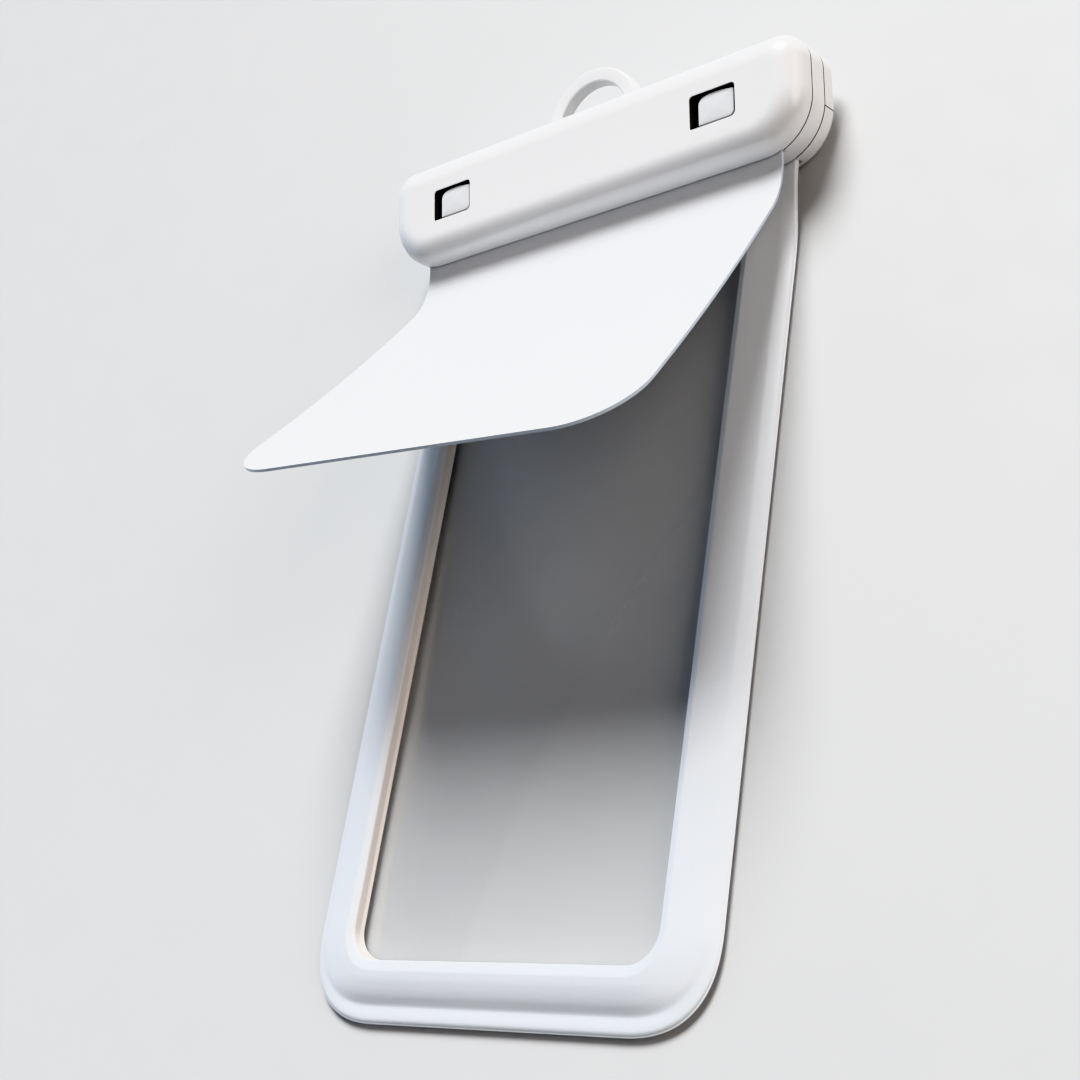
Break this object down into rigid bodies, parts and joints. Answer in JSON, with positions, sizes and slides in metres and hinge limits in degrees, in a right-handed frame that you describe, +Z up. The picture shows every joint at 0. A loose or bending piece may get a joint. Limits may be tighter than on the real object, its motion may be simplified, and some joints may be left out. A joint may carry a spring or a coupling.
{
  "type": "waterproof phone pouch",
  "caption": "Waterproof pouch for a phone: padded tray with clear back film, white cover film, and a hinged hard clasp with sliding latches and a lanyard loop.",
  "frame": {"origin": "middle of the pouch's outline, on the surface that it lies on", "axes": "+Z up, out of the front of the pouch, +Y from the tray's bottom to the clasp and its lanyard loop, +X to the right as seen from the front"},
  "size_m": [0.132, 0.2452, 0.0631],
  "materials": {
    "hard_white_plastic": "smooth gloss",
    "white_cover_film": "satin",
    "soft_white_rim": "satin",
    "clear_film": "clear soft film",
    "grey_silicone": "matte",
    "steel": "satin"
  },
  "bodies": {
    "rear_jaw": {"neck_strip": "hard_white_plastic", "rear_cover": "hard_white_plastic", "hinge_pin_left": "steel", "hinge_pin_right": "steel", "padded_rim": "soft_white_rim", "back_film": "clear_film"},
    "front_jaw": {"front_plate": "hard_white_plastic", "middle_plate": "hard_white_plastic", "front_flap": "white_cover_film", "mouth_gasket": "grey_silicone"},
    "left_latch": {"latch_left": "hard_white_plastic"},
    "right_latch": {"latch_right": "hard_white_plastic"}
  },
  "joints": [
    {"name": "clasp_hinge", "type": "hinge", "parent": "rear_jaw", "child": "front_jaw", "pos_m": [0, 0.11006, 0.01233], "axis": [-1, 0, 0], "range_deg": [0, 90]},
    {"name": "left_latch_slide", "type": "slide", "parent": "front_jaw", "child": "left_latch", "axis": [-1, 0, 0], "range_m": [0, 0.0016]},
    {"name": "right_latch_slide", "type": "slide", "parent": "front_jaw", "child": "right_latch", "axis": [-1, 0, 0], "range_m": [0, 0.0016]}
  ]
}
